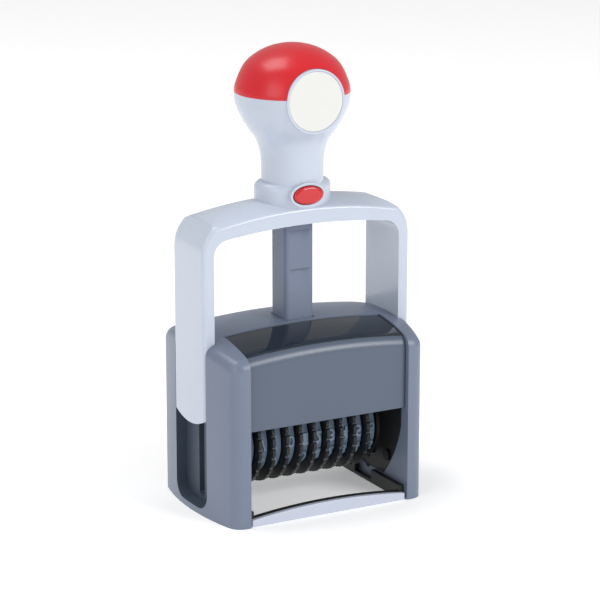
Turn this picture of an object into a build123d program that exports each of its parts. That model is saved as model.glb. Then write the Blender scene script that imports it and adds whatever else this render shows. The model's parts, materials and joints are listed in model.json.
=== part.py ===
from build123d import *

import os
from math import acos, atan2, cos, degrees, hypot, pi, radians, sin, sqrt

# Self-inking numbering machine with ten number bands. Millimetres, +Z up. The origin is
# on the desk under the middle of the machine, X runs along the print line, and the front
# of the machine faces -Y. Every piece is drawn at rest: handle up, print unit turned up
# against the ink pad.

# ---------------------------------------------------------------- driving sizes
# casing
BODY_HALF_W = 39.3  # half width at mid depth
BODY_HALF_D = 27.2  # half depth of the side cheeks
FRONT_HALF_W = 35.4  # half width where the side curve meets the front plane
PLAN_CORNER_R = 4.8
TOP_Z = 63.2  # crest of the casing top
CROWN_R_Y = 85.0  # crown of the top, front to rear
CROWN_R_X = 263.0  # crown of the top, side to side
TOP_EDGE_R = 4.5
WALL = 2.2
BAY_HALF_W = 29.9  # half width between the cheeks
BRIDGE_FRONT_Y = 7.0  # the bridge starts this far in front of the post's axis
BRIDGE_REAR_Y = 19.3
# covers
COVER_Y = 25.4  # outer face of the front and rear covers
COVER_WALL = 2.0
COVER_SINK = 0.5  # covers sit this far below the casing top
COVER_EDGE_R = 5.0
FRONT_COVER_Z = 32.6  # lower edge of the front cover
REAR_COVER_Z = 35.0
WINDOW_FRONT_Y = 23.2  # front edge of the clear index window
CARD_T = 0.4
# handle
LEG_X = 35.0  # inner face of a leg
LEG_T = 4.2
LEG_HALF_D = 11.2
LEG_END_Z = 30.9
LEG_END_SAG = 3.0
ARCH_CREST_Z = 104.6
ARCH_CREST_R = 170.0
ARCH_CROWN = 2.6  # crown of the arch across its depth
ARCH_UNDER_Z = 96.9
ARCH_UNDER_R = 218.0
SHOULDER_Z = 99.8
SHOULDER_R = 12.5
SHOULDER_RISE = 0.20  # slope of the top towards the middle
INNER_CORNER_R = 5.5
YOKE_EDGE_R = 1.5
COLLAR_HALF_X = 13.4
COLLAR_HALF_Y = 10.8
COLLAR_TOP_Z = 110.2
COLLAR_EDGE_R = 2.4
NECK_R = 10.5
NECK_Z = 111.5  # joint between yoke and knob
KNOB_R = 19.4
KNOB_TOP_Z = 156.0
CAP_H = 16.0  # cap above its joint with the knob
CAP_WALL = 2.4
LABEL_DROP = 17.1  # middle of a label below the knob's top
LABEL_R = 9.9
LABEL_T = 1.2
LABEL_FACE_Y = 16.6
BEZEL_W = 0.8
# lock button
BUTTON_HALF_X = 5.5
BUTTON_HALF_Z = 3.1
BUTTON_Z = 106.7
BUTTON_RIM = 1.1
BUTTON_TRAVEL = 1.8
BUTTON_PROUD = 1.5  # button face in front of the collar
BUTTON_EDGE_R = 1.0
# post
POST_HALF = 5.4
POST_CORNER_R = 1.5
POST_BORE_R = 3.4
POST_FLANGE_Z = 59.2
POST_FLANGE_T = 1.8
POST_FLANGE_X = 10.4
POST_FLANGE_Y = 6.4
POST_FLOOR = 2.6  # floor of the post's bore above the flange
NOTCH_TOPS = (80.3, 93.7)
NOTCH_H = 4.3
NOTCH_HALF_W = 3.8
NOTCH_DEPTH = 1.0
# guide rod and spring
ROD_R = 1.5
ROD_SPARE = 1.0  # rod end above the post's floor when the handle is down
SPRING_R = 2.55
SPRING_WIRE_R = 0.4
SPRING_TURNS = 20
KNOB_BORE_R = 7.4
KNOB_BORE_DROP = 15.0  # end of the knob's bore below the knob's top
POST_SPARE = 1.5  # room above the post when the handle is down
ROD_WEB = 2.5
# motion
TRAVEL = 24.5
NOSE_REACH = 9.5  # pivot to the printing face
PIVOT_R = 1.6
PIVOT_Z = TRAVEL + NOSE_REACH
# print unit
BANDS = 10
BAND_PITCH = 5.2
BAND_W = 3.4
BAND_T = 1.2
RELIEF = 0.8
BAND_MARKS = 14  # characters on one band
WHEEL_DROP = 12.0  # wheel shaft below the pivot
DISC_R = 15.3
DISC_T = 1.2
DRUM_R = 10.3
DRUM_W = 3.8
SHAFT_R = 2.0
GRIPS = 24
GRIP_R = 0.7
NOSE_CORNER_Y = 2.0
NOSE_CORNER_R = 1.2
PLATE_X = 26.35  # inner face of a carrier end plate
PLATE_T = 1.2
PLATE_LOW_R = 12.5
PLATE_TOP_R = 3.2
PLATE_TOP_Z = 4.9
NOSE_SCREW_Z = 5.4
NOSE_FOOT_Z = 3.7
NUT_R = 3.2
NUT_T = 1.3
# cam plates
CAM_X = 30.1
CAM_T = 1.9
CAM_GROOVE = 1.2
CAM_HALF_D = 22.4
CAM_TOP_Z = 52.0
CAM_FOOT_HALF_D = 10.8  # half depth of a cam plate's lower edge
CAM_KNEE_Z = 25.0  # the swept lower corners end here
CAM_SWEEP = 1.7  # bulge of the swept corners
CAM_ARM = 4.2  # pivot to cam pin
CAM_START = 60.0  # degrees of the cam pin from straight down at rest
CAM_PIN_R = 1.4
CAM_SCREWS = ((13.2, 12.2), (18.0, 40.5))  # y and z
CAM_SCREW_REACH = 3.0
# base
FRAME_HALF_W = 29.7
FRAME_HALF_D = 25.0
FRAME_RAIL = 1.8
FRAME_BAR = 1.6
FRAME_H = 5.0
FRAME_NOTCH = 2.5  # room beside a carrier plate where it dips into a rail
LIP_T = 1.7
LIP_END_H = 2.4
LIP_MID_H = 4.4
LIP_HALF_W = 29.3
LIP_DIP = 0.15  # the lips stay this far below the frame's bars
TAB_H = 2.0
TAB_X = 36.15
TAB_Y = 17.2
TAB_W = 5.0
# ink pad
PAD_HALF_W = 26.1
PAD_HALF_D = 19.5
TRAY_WALL = 1.2
TRAY_TOP_Z = 52.7
TRAY_LIFT = 1.5  # pad stands proud of the tray by this much
TRAY_FRONT_Y = 21.0
RAIL_X = 26.8
RAIL_T = 1.4
PULL_HALF_W = 11.0
PULL_OUT = 1.5
# screws
SCREW_R = 1.1
SCREW_HEAD_R = 2.1
SCREW_HEAD_T = 0.7
BASE_SCREW_REACH = 7.0  # base screws above the frame's tabs, short of the cam plate screws
HEAD_SINK = 0.3  # base screw heads above the desk
# clearances
FIT = 0.02  # pressed or screwed together
RUN = 0.05  # turning or sliding round fits
GAP = 0.25  # covers and trays beside their walls
MOVE = 0.35  # moving mouldings beside fixed ones

# ---------------------------------------------------------------- derived places
LEG_OUT_X = LEG_X + LEG_T
CHANNEL_X = LEG_X - MOVE
CHANNEL_HALF_D = LEG_HALF_D + MOVE
CHANNEL_Z = 2.2
CHANNEL_R = 5.5
CAM_OUT_X = CAM_X + CAM_T
RECESS_X = CAM_OUT_X + GAP
SHAFT_Z = PIVOT_Z - WHEEL_DROP
SEAM_Z = KNOB_TOP_Z - CAP_H
LABEL_Z = KNOB_TOP_Z - LABEL_DROP
KNOB_BORE_Z = KNOB_TOP_Z - KNOB_BORE_DROP
POST_TOP_Z = KNOB_BORE_Z - TRAVEL - POST_SPARE
PAD_Z = PIVOT_Z + NOSE_REACH + GAP
TRAY_Z = PAD_Z + TRAY_LIFT
TRAY_HALF_W = PAD_HALF_W + 0.1 + TRAY_WALL
RAIL_TOP_Z = TRAY_Z - GAP
SPRING_Z = POST_FLANGE_Z + POST_FLOOR
ROD_END_Z = SPRING_Z + TRAVEL + ROD_SPARE
SWEEP = 13.0  # half angle of the crowned tools, wider than the body
FAR = 60.0


# ---------------------------------------------------------------- helpers
def block(x0, x1, y0, y1, z0, z1):
    """A box between two corners."""
    return Pos((x0 + x1) / 2, (y0 + y1) / 2, (z0 + z1) / 2) * Box(x1 - x0, y1 - y0, z1 - z0)


def two_sided(shape):
    """The shape and its mirror image across the middle of the machine."""
    return [shape, mirror(shape, Plane.YZ)]


def rod_x(y, z, r, x0, x1):
    """A cylinder along X."""
    return Pos(x0, y, z) * extrude(Plane.YZ * Circle(r), x1 - x0)


def rod_z(x, y, r, z0, z1):
    """A cylinder along Z."""
    return Pos(x, y, z0) * extrude(Circle(r), z1 - z0)


def hull_face(rings):
    """The convex outline round some circles, each given as (y, z, radius)."""
    return make_hull([edge for y, z, r in rings for edge in (Pos(y, z) * Circle(r)).edges()])


def save(name, *solids):
    """Write one sub-part."""
    shape = solids[0] if len(solids) == 1 else Compound(children=list(solids))
    export_step(shape, f"parts/{name}.step")


def arc_drop(radius, reach):
    """How far a circle falls away at a distance from its top."""
    return radius - sqrt(radius * radius - reach * reach)


def crowned(drop):
    """Everything under the doubly crowned casing top, lowered by drop."""
    crest, r_y, r_x = TOP_Z - drop, CROWN_R_Y - drop, CROWN_R_X - drop
    reach = BODY_HALF_D + 10
    edge_z = crest - arc_drop(r_y, reach)
    arc = ThreePointArc((-reach, edge_z), (0, crest), (reach, edge_z))
    legs = Polyline((reach, edge_z), (reach, -WALL), (-reach, -WALL), (-reach, edge_z))
    axis = Axis((0, 0, crest - r_x), (0, 1, 0))
    face = (Plane.YZ * make_face(arc + legs)).rotate(axis, -SWEEP)
    return revolve(face, axis, 2 * SWEEP)


# ---------------------------------------------------------------- casing
def body_plan():
    """Plan outline of the casing: flat front and rear, bowed sides, rounded corners."""
    w, d, f = BODY_HALF_W, BODY_HALF_D, FRONT_HALF_W
    outline = ThreePointArc((f, -d), (w, 0), (f, d)) + Line((f, d), (-f, d))
    outline += ThreePointArc((-f, d), (-w, 0), (-f, -d)) + Line((-f, -d), (f, -d))
    face = make_face(outline)
    return fillet(face.vertices(), PLAN_CORNER_R)


def channel():
    """The right-hand side channel that a handle leg runs in, open outwards and upwards."""
    height = TOP_Z + 10 - CHANNEL_Z
    side = Rectangle(2 * CHANNEL_HALF_D, height, align=(Align.CENTER, Align.MIN))
    side = fillet(side.vertices().sort_by(Axis.Y)[:2], CHANNEL_R)
    return Pos(CHANNEL_X, 0, CHANNEL_Z) * extrude(Plane.YZ * side, FAR)


def pin_slot(x0, x1, z0):
    """The upright slot that a pivot pin runs in, on the right."""
    top = PIVOT_Z + PIVOT_R + MOVE
    half = PIVOT_R + MOVE
    rings = [(0, z0 + half, half), (0, top - half, half)]
    return Pos(x0, 0, 0) * extrude(Plane.YZ * hull_face(rings), x1 - x0)


def cam_screws():
    """The four screws of the right-hand cam plate."""
    screws = []
    for side in (-1, 1):
        for y, z in CAM_SCREWS:
            head = rod_x(side * y, z, SCREW_HEAD_R, CAM_X - SCREW_HEAD_T, CAM_X)
            screws.append(head + rod_x(side * y, z, SCREW_R, CAM_X, RECESS_X + CAM_SCREW_REACH))
    return screws


def cam_outline(grow):
    """Outline of a cam plate, with its lower corners swept up beside the wheels."""
    foot, d = CAM_FOOT_HALF_D + grow, CAM_HALF_D + grow
    low, knee, top = FRAME_H + GAP - grow, CAM_KNEE_Z, CAM_TOP_Z + grow
    mid_y, mid_z = (foot + d) / 2 + CAM_SWEEP, (low + knee) / 2
    line = Line((-foot, low), (foot, low)) + ThreePointArc((foot, low), (mid_y, mid_z), (d, knee))
    line += Polyline((d, knee), (d, top), (-d, top), (-d, knee))
    return make_face(line + ThreePointArc((-d, knee), (-mid_y, mid_z), (-foot, low)))


def screw_holes(screws, fit):
    """Round holes along X for cam plate screws."""
    holes = []
    for screw in screws:
        box = screw.bounding_box()
        centre = box.center()
        holes.append(rod_x(centre.Y, centre.Z, SCREW_R + fit, box.min.X - 1, box.max.X + 0.3))
    return holes


def base_screw_places():
    """Plan places of the four screws under the base frame's tabs."""
    x = TAB_X - TAB_W / 2
    return [(sx * x, sy * TAB_Y) for sx in (-1, 1) for sy in (-1, 1)]


def post_screw_places():
    """Plan places of the two screws of the post's flange."""
    return [(side * (POST_HALF + POST_FLANGE_X) / 2 + side * 0.2, 0) for side in (-1, 1)]


def outer_casing():
    """Both cheeks and the bridge that joins them, in one moulding."""
    body = extrude(body_plan(), TOP_Z + 5) & crowned(0)
    body = fillet(body.faces().sort_by(Axis.Z)[-1].edges(), TOP_EDGE_R)
    w, high = BAY_HALF_W, TOP_Z + 5
    fx, fy = POST_FLANGE_X, POST_FLANGE_Y
    seat = block(-fx, fx, -fy, fy, POST_FLANGE_Z, high)
    cuts = [(block(-w, w, -FAR, FAR, -1, high) & crowned(WALL)) - seat]
    cuts.append(block(-w, w, -FAR, -BRIDGE_FRONT_Y, -1, high))
    cuts.append(block(-w, w, BRIDGE_REAR_Y, FAR, -1, high))
    half = POST_HALF + GAP
    cuts.append(block(-half, half, -half, half, TOP_Z - 2 * WALL, high))
    for x, y in post_screw_places():
        cuts.append(rod_z(x, y, SCREW_R + FIT, POST_FLANGE_Z - 1, POST_FLANGE_Z + 2))
    sides = [channel(), pin_slot(w - 1, CHANNEL_X + 1, CHANNEL_Z + 1.7)]
    recess = extrude(Plane.YZ * cam_outline(GAP), RECESS_X - w + 1)
    sides.append(Pos(w - 1, 0, 0) * recess)
    sides += screw_holes(cam_screws(), FIT)
    tab = TAB_W / 2 + GAP
    for x, y in base_screw_places():
        if x > 0:
            sides.append(block(w - 1, x + tab, y - tab, y + tab, -1, TAB_H + GAP))
            sides.append(rod_z(x, y, SCREW_R + FIT, -1, TAB_H + BASE_SCREW_REACH + GAP))
    for side in sides:
        cuts += two_sided(side)
    for cut in cuts:
        body -= cut
    return body


def cover_blank(y_out, y_in, sink, edge_r, low_z):
    """A solid the shape of a cover: upright face, rounded top edge, crowned top.

    y_out is the upright face and y_in the end under the casing top.
    """
    w = BAY_HALF_W - GAP
    y0, y1 = sorted((y_out, y_in))
    blank = block(-w, w, y0, y1, low_z, TOP_Z + 5) & crowned(COVER_SINK + sink)
    top = blank.faces().sort_by(Axis.Z)[-1]
    outer = top.edges().sort_by(Axis.Y)[0 if y_out < 0 else -1]
    return fillet(outer, edge_r)


def cover_shell(sign, low_z, inner_y):
    """One cover as a shell; sign is -1 for the front and 1 for the rear."""
    outer = cover_blank(sign * COVER_Y, sign * inner_y, 0, COVER_EDGE_R, low_z)
    wall, edge_r = COVER_WALL, COVER_EDGE_R - COVER_WALL
    past = sign * (inner_y - 5)
    inner = cover_blank(sign * (COVER_Y - wall), past, wall, edge_r, low_z - 1)
    return outer - inner


def front_covers():
    """The grey front cover and the clear index window behind its rounded edge."""
    shell = cover_shell(-1, FRONT_COVER_Z, BRIDGE_FRONT_Y + GAP)
    ahead = block(-FAR, FAR, -FAR, -WINDOW_FRONT_Y, 0, 2 * TOP_Z)
    behind = block(-FAR, FAR, -WINDOW_FRONT_Y, FAR, 0, 2 * TOP_Z)
    return shell & ahead, shell & behind


def rear_cover():
    """The rear cover with the slot that the ink pad tray slides out of."""
    shell = cover_shell(1, REAR_COVER_Z, BRIDGE_REAR_Y + GAP)
    w = TRAY_HALF_W + MOVE
    return shell - block(-w, w, 0, FAR, PAD_Z - MOVE, TRAY_TOP_Z + MOVE)


def index_card():
    """The card under the clear window."""
    w = BAY_HALF_W - 2 * GAP
    front_y = COVER_Y - COVER_EDGE_R - GAP
    slab = block(-w, w, -front_y, -BRIDGE_FRONT_Y - 1, 0, TOP_Z)
    top = COVER_SINK + COVER_WALL
    return (slab & crowned(top)) - crowned(top + CARD_T)


# ---------------------------------------------------------------- base
def arched_bar(half_w, y0, y1, z0, end_h, mid_h):
    """A bar along X with a straight foot and an arched top."""
    line = Polyline((-half_w, end_h), (-half_w, z0), (half_w, z0), (half_w, end_h))
    arc = ThreePointArc((half_w, end_h), (0, mid_h), (-half_w, end_h))
    face = Plane.XZ * make_face(line + arc)
    return Pos(0, y1, 0) * extrude(face, y1 - y0)


def base_frame():
    """Black frame round the print opening, with four screwed tabs."""
    w, d, n = FRAME_HALF_W, FRAME_HALF_D, PLATE_TOP_R + FRAME_NOTCH
    low = NOSE_REACH - PLATE_TOP_Z - PLATE_TOP_R - MOVE
    frame = None
    for side in (-1, 1):
        x0, x1 = sorted((side * w, side * (w - FRAME_RAIL)))
        rail = block(x0, x1, -d, d, 0, FRAME_H - GAP) - block(x0, x1, -n, n, low, FRAME_H)
        frame = rail if frame is None else frame + rail
    for side in (-1, 1):
        y0, y1 = sorted((side * d, side * (d - FRAME_BAR)))
        frame += arched_bar(w, y0, y1, 0, LIP_END_H + LIP_DIP, LIP_MID_H + LIP_DIP)
    for x, y in base_screw_places():
        inner = (w - FRAME_RAIL / 2) * (1 if x > 0 else -1)
        x0, x1 = sorted((inner, x + (TAB_W / 2 if x > 0 else -TAB_W / 2)))
        frame += block(x0, x1, y - TAB_W / 2, y + TAB_W / 2, 0, TAB_H)
    for x, y in base_screw_places():
        frame -= rod_z(x, y, SCREW_R + FIT, -1, TAB_H + 1)
        frame -= rod_z(x, y, SCREW_HEAD_R + GAP, -1, SCREW_HEAD_T + HEAD_SINK)
    return frame


def lip(side):
    """The pale trim strip along the foot, in front of or behind the base frame."""
    y = sorted((side * FRAME_HALF_D, side * (FRAME_HALF_D + LIP_T)))
    return arched_bar(LIP_HALF_W, y[0], y[1], 0, LIP_END_H, LIP_MID_H)


def base_screws():
    """Screws that hold the base frame to the cheeks."""
    screws = []
    for x, y in base_screw_places():
        head_z = HEAD_SINK + SCREW_HEAD_T
        head = rod_z(x, y, SCREW_HEAD_R, HEAD_SINK, head_z)
        screws.append(head + rod_z(x, y, SCREW_R, head_z, TAB_H + BASE_SCREW_REACH))
    return screws


# ---------------------------------------------------------------- post and spring
def post():
    """Hollow square guide post with two latch notches in front and a flange below."""
    shaft = block(-POST_HALF, POST_HALF, -POST_HALF, POST_HALF, POST_FLANGE_Z, POST_TOP_Z)
    shaft = fillet(shaft.edges().filter_by(Axis.Z), POST_CORNER_R)
    shaft = chamfer(shaft.faces().sort_by(Axis.Z)[-1].edges(), 0.6)
    fx, fy = POST_FLANGE_X, POST_FLANGE_Y
    flange = block(-fx, fx, -fy, fy, POST_FLANGE_Z - POST_FLANGE_T, POST_FLANGE_Z)
    shaft += fillet(flange.edges().filter_by(Axis.Z), POST_CORNER_R)
    shaft -= rod_z(0, 0, POST_BORE_R, SPRING_Z, POST_TOP_Z + 1)
    scoop_r = (NOTCH_HALF_W**2 + NOTCH_DEPTH**2) / (2 * NOTCH_DEPTH)
    tilt = degrees(atan2(NOTCH_DEPTH, NOTCH_H))
    for top in NOTCH_TOPS:
        scoop = Pos(0, -POST_HALF + NOTCH_DEPTH - scoop_r, top) * Rot(-tilt, 0, 0)
        scoop = scoop * Cylinder(scoop_r, 8 * NOTCH_H)
        shaft -= scoop & block(-FAR, FAR, -FAR, 0, top - 2 * NOTCH_H, top)
    for x, y in post_screw_places():
        shaft -= rod_z(x, y, SCREW_R + FIT, 0, POST_FLANGE_Z)
    return shaft


def post_screws():
    """Screws that hold the post's flange under the bridge."""
    screws = []
    for x, y in post_screw_places():
        low = POST_FLANGE_Z - POST_FLANGE_T
        head = rod_z(x, y, SCREW_HEAD_R, low - SCREW_HEAD_T, low)
        screws.append(head + rod_z(x, y, SCREW_R, low, POST_FLANGE_Z + 1.7))
    return screws


def return_spring():
    """Compression spring round the guide rod, from the post's floor to the knob."""
    low = SPRING_Z + SPRING_WIRE_R + 0.05
    height = KNOB_BORE_Z - SPRING_WIRE_R - 0.05 - low
    path = Helix(height / SPRING_TURNS, height, SPRING_R)
    start = path @ 0
    section = Plane(origin=start, z_dir=path % 0) * Circle(SPRING_WIRE_R)
    return Pos(0, 0, low) * sweep(section, path)


def guide_rod():
    """Steel rod inside the spring, hung from the knob."""
    top = KNOB_BORE_Z + ROD_WEB
    return rod_z(0, 0, ROD_R, ROD_END_Z, top + 3.2)


def rod_nut():
    """Nut on top of the guide rod."""
    top = KNOB_BORE_Z + ROD_WEB
    nut = Pos(0, 0, top) * extrude(RegularPolygon(3.2, 6), 2.4)
    return nut - rod_z(0, 0, ROD_R + FIT, top - 1, top + 4)


# ---------------------------------------------------------------- handle
def arch_tool():
    """Everything under the crowned top of the handle's arch."""
    reach = LEG_HALF_D + 4
    radius = (LEG_HALF_D**2 + ARCH_CROWN**2) / (2 * ARCH_CROWN)
    edge_z = ARCH_CREST_Z - arc_drop(radius, reach)
    arc = ThreePointArc((-reach, edge_z), (0, ARCH_CREST_Z), (reach, edge_z))
    rest = Polyline((reach, edge_z), (reach, 0), (-reach, 0), (-reach, edge_z))
    axis = Axis((0, 0, ARCH_CREST_Z - ARCH_CREST_R), (0, 1, 0))
    half_angle = 24.0
    face = (Plane.YZ * make_face(arc + rest)).rotate(axis, -half_angle)
    return revolve(face, axis, 2 * half_angle)


def yoke_strap():
    """The bent strap: two legs and the arch, with eased front and rear edges."""
    out, low = LEG_OUT_X, LEG_END_Z - 8
    crest = SHOULDER_Z + SHOULDER_RISE * out
    outer = Polyline((-out, low), (-out, SHOULDER_Z), (0, crest), (out, SHOULDER_Z), (out, low))
    outer = make_face(outer + Line((out, low), (-out, low)))
    corners = [v for v in outer.vertices() if abs(v.Y - SHOULDER_Z) < 0.01]
    outer = fillet(corners, SHOULDER_R)
    under = ARCH_UNDER_Z - arc_drop(ARCH_UNDER_R, LEG_X)
    inner = ThreePointArc((-LEG_X, under), (0, ARCH_UNDER_Z), (LEG_X, under))
    inner += Polyline((LEG_X, under), (LEG_X, low - 1), (-LEG_X, low - 1), (-LEG_X, under))
    inner = make_face(inner)
    corners = [v for v in inner.vertices() if abs(v.Y - under) < 0.01]
    inner = fillet(corners, INNER_CORNER_R)
    strap = extrude(Plane.XZ * outer, LEG_HALF_D, both=True) & arch_tool()
    edges = [e for e in strap.edges() if abs(e.center().Y) > LEG_HALF_D - 0.5]
    strap = fillet([e for e in edges if e.center().Z > LEG_END_Z], YOKE_EDGE_R)
    strap -= extrude(Plane.XZ * inner, LEG_HALF_D + 1, both=True)
    end = LEG_END_Z + LEG_END_SAG
    d = LEG_HALF_D
    foot = ThreePointArc((-d, end), (0, LEG_END_Z), (d, end))
    foot += Polyline((d, end), (d, low - 2), (-d, low - 2), (-d, end))
    strap -= extrude(Plane.YZ * make_face(foot), FAR, both=True)
    return strap


def ellipse_y(half_x, half_z, z, y0, y1):
    """An elliptic prism along Y."""
    return Pos(0, y1, z) * extrude(Plane.XZ * Ellipse(half_x, half_z), y1 - y0)


def yoke():
    """Strap, oval collar and neck root in one moulding."""
    body = yoke_strap()
    collar_low = ARCH_UNDER_Z + 1.5
    collar = extrude(Ellipse(COLLAR_HALF_X, COLLAR_HALF_Y), COLLAR_TOP_Z - collar_low)
    collar = Pos(0, 0, collar_low) * collar
    collar = fillet(collar.faces().sort_by(Axis.Z)[-1].edges(), COLLAR_EDGE_R)
    body += collar
    body += rod_z(0, 0, NECK_R, collar_low, NECK_Z)
    rim_x, rim_z = BUTTON_HALF_X + BUTTON_RIM, BUTTON_HALF_Z + BUTTON_RIM
    rim_y = COLLAR_HALF_Y + 0.5
    body += ellipse_y(rim_x, rim_z, BUTTON_Z, -rim_y, -POST_HALF - 1)
    half = POST_HALF + GAP
    shaft = block(-half, half, -half, half, ARCH_UNDER_Z - 2, NECK_Z + 1)
    body -= fillet(shaft.edges().filter_by(Axis.Z), POST_CORNER_R)
    body -= ellipse_y(BUTTON_HALF_X + GAP, BUTTON_HALF_Z + GAP, BUTTON_Z, -FAR, -POST_HALF)
    for pin in pivot_pins():
        x = pin.bounding_box()
        body -= rod_x(0, PIVOT_Z, PIVOT_R + FIT, x.min.X - FIT, x.max.X + FIT)
    return body


def knob_profile():
    """Outer line of neck and knob, from the neck joint to the seam."""
    swell, high = KNOB_R - NECK_R, SEAM_Z - NECK_Z
    shape = [(0, 0), (0, 0.12), (0.055, 0.31), (0.24, 0.46), (0.49, 0.57), (0.855, 0.78), (1, 1)]
    points = [(NECK_R + swell * out, NECK_Z + high * up) for out, up in shape]
    return Spline(*points, tangents=[(0, 1), (0, 1)])


def knob_shell():
    """Pale lower half of the knob with the neck and both label bosses."""
    curve = knob_profile()
    edges = curve + Polyline((KNOB_R, SEAM_Z), (0, SEAM_Z), (0, NECK_Z), (NECK_R, NECK_Z))
    shell = revolve(Plane.XZ * make_face(edges), Axis.Z, 360)
    pocket_r = KNOB_BORE_R + CAP_WALL
    wall_r = KNOB_R - CAP_WALL
    low, mid = NECK_Z + 0.6 * (SEAM_Z - NECK_Z), NECK_Z + 0.8 * (SEAM_Z - NECK_Z)
    ring = Polyline(
        (pocket_r, low), (pocket_r + 1.0, low), (wall_r - 1.4, mid),
        (wall_r, SEAM_Z + 1), (pocket_r, SEAM_Z + 1), (pocket_r, low),
    )
    shell -= revolve(Plane.XZ * make_face(ring), Axis.Z, 360)
    shell += rod_z(0, 0, pocket_r, low, KNOB_BORE_Z + ROD_WEB)
    boss_r = LABEL_R + BEZEL_W
    for side in (-1, 1):
        y0, y1 = sorted((side * LABEL_FACE_Y, side * (pocket_r - 1)))
        shell += ellipse_y(boss_r, boss_r, LABEL_Z, y0, y1)
        y0, y1 = sorted((side * LABEL_FACE_Y, side * FAR))
        shell -= ellipse_y(boss_r + 0.1, boss_r + 0.1, LABEL_Z, y0, y1)
    for side in (-1, 1):
        y0, y1 = sorted((side * FAR, side * (LABEL_FACE_Y - LABEL_T - 0.1)))
        shell -= ellipse_y(LABEL_R + 0.1, LABEL_R + 0.1, LABEL_Z, y0, y1)
    shell -= rod_z(0, 0, KNOB_BORE_R, NECK_Z - 1, KNOB_BORE_Z)
    shell -= rod_z(0, 0, ROD_R + FIT, KNOB_BORE_Z - 1, KNOB_BORE_Z + ROD_WEB + 1)
    return shell


def dome(radius, low, high):
    """A flattened dome on a circle."""
    rise = high - low
    points = [(radius, low), (radius - 0.021 * rise * 1.2, low + 0.16 * rise)]
    points += [(0.935 * radius, low + 0.31 * rise), (0.75 * radius, low + 0.665 * rise)]
    points += [(0.43 * radius, low + 0.92 * rise), (0, high)]
    edges = Spline(*points, tangents=[(0, 1), (-1, 0)]) + Polyline((0, high), (0, low), (radius, low))
    return revolve(Plane.XZ * make_face(edges), Axis.Z, 360)


def knob_cap():
    """Red domed cap, cut round the label bosses."""
    cap = dome(KNOB_R, SEAM_Z, KNOB_TOP_Z)
    cap -= dome(KNOB_R - CAP_WALL, SEAM_Z - 0.001, KNOB_TOP_Z - CAP_WALL)
    for side in (-1, 1):
        y0, y1 = sorted((side * FAR, side * (KNOB_BORE_R + 1)))
        r = LABEL_R + BEZEL_W + 0.1
        cap -= ellipse_y(r, r, LABEL_Z, y0, y1)
    return cap


def label_disc(side):
    """Blank disc let into a label boss."""
    y = LABEL_FACE_Y - 0.1
    y0, y1 = sorted((side * y, side * (y - LABEL_T)))
    return ellipse_y(LABEL_R, LABEL_R, LABEL_Z, y0, y1)


def pivot_pins():
    """Stub pins from the legs into the carrier's end plates."""
    return two_sided(rod_x(0, PIVOT_Z, PIVOT_R, PLATE_X + 0.05, LEG_OUT_X - 1.1))


def lock_button():
    """Oval button with a domed face, in the collar's front, clear of the post when pressed."""
    face_y = COLLAR_HALF_Y + BUTTON_PROUD
    back_y = POST_HALF + BUTTON_TRAVEL + MOVE
    button = ellipse_y(BUTTON_HALF_X, BUTTON_HALF_Z, BUTTON_Z, -face_y, -back_y)
    return fillet(button.faces().sort_by(Axis.Y)[0].edges(), BUTTON_EDGE_R)


# ---------------------------------------------------------------- cam plates
def cam_point(turn):
    """Place of the cam pin's centre after the print unit has turned by turn (radians)."""
    angle = radians(CAM_START) + turn
    z = PIVOT_Z - TRAVEL * turn / pi - CAM_ARM * cos(angle)
    return CAM_ARM * sin(angle), z


def cam_groove():
    """Blind groove that turns the print unit over as the handle comes down."""
    half = CAM_PIN_R + RUN + 0.15
    steps = 16
    left, right = [], []
    for i in range(steps + 1):
        turn = pi * i / steps
        y, z = cam_point(turn)
        y2, z2 = cam_point(turn + 0.001)
        y1, z1 = cam_point(turn - 0.001)
        length = hypot(y2 - y1, z2 - z1)
        ny, nz = -(z2 - z1) / length * half, (y2 - y1) / length * half
        left.append((y + ny, z + nz))
        right.append((y - ny, z - nz))
    area = make_face(
        Spline(*left) + Line(left[-1], right[-1]) + Spline(*right[::-1]) + Line(right[0], left[0])
    )
    ends = [Pos(*cam_point(turn)) * Circle(half) for turn in (0, pi)]
    depth = CAM_GROOVE + 1
    groove = extrude(Plane.YZ * area, depth)
    for end in ends:
        groove += extrude(Plane.YZ * end, depth)
    return Pos(CAM_X - 1, 0, 0) * groove


def cam_plate():
    """Right-hand cam plate with its groove, pivot slot and ink pad rail."""
    d = CAM_HALF_D
    plate = Pos(CAM_X, 0, 0) * extrude(Plane.YZ * cam_outline(0), CAM_T)
    plate += block(RAIL_X, CAM_X + 0.5, -TRAY_FRONT_Y, d - 2.5, RAIL_TOP_Z - RAIL_T, RAIL_TOP_Z)
    plate -= cam_groove()
    plate -= pin_slot(CAM_X - 1, CAM_OUT_X + 1, PIVOT_Z - TRAVEL - PIVOT_R - MOVE)
    for hole in screw_holes(cam_screws(), FIT):
        plate -= hole
    return plate


# ---------------------------------------------------------------- print unit
def loop_rings(grow):
    """Circles whose hull is the line of a band, grown outwards by grow."""
    nose_z = PIVOT_Z + NOSE_REACH - RELIEF - BAND_T - NOSE_CORNER_R
    drum = DRUM_R + GAP
    nose_r = NOSE_CORNER_R + grow
    rings = [(0, SHAFT_Z, drum + grow)]
    return rings + [(side * NOSE_CORNER_Y, nose_z, nose_r) for side in (-1, 1)]


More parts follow.
